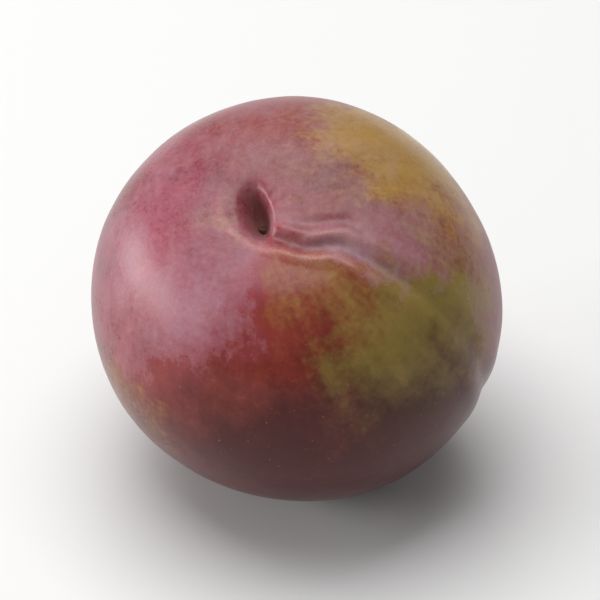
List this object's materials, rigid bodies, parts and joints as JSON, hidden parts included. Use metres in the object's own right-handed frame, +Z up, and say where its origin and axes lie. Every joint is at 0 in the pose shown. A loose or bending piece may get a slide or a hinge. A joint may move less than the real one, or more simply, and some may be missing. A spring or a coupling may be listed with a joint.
{
  "type": "plum",
  "caption": "Whole round plum without its stalk, with a stalk pit, a shallow suture and a blossom tip, lying on a small flat spot.",
  "frame": {"origin": "middle of the flat spot that the plum lies on", "axes": "+Z up from the surface that it lies on, -Y the front that its stalk end leans towards, +X to the right as seen from the front"},
  "size_m": [0.0429, 0.043, 0.0411],
  "materials": {
    "skin": "satin red-brown skin with olive patches under a thin waxy bloom"
  },
  "bodies": {
    "root": {"plum": "skin"}
  },
  "joints": []
}
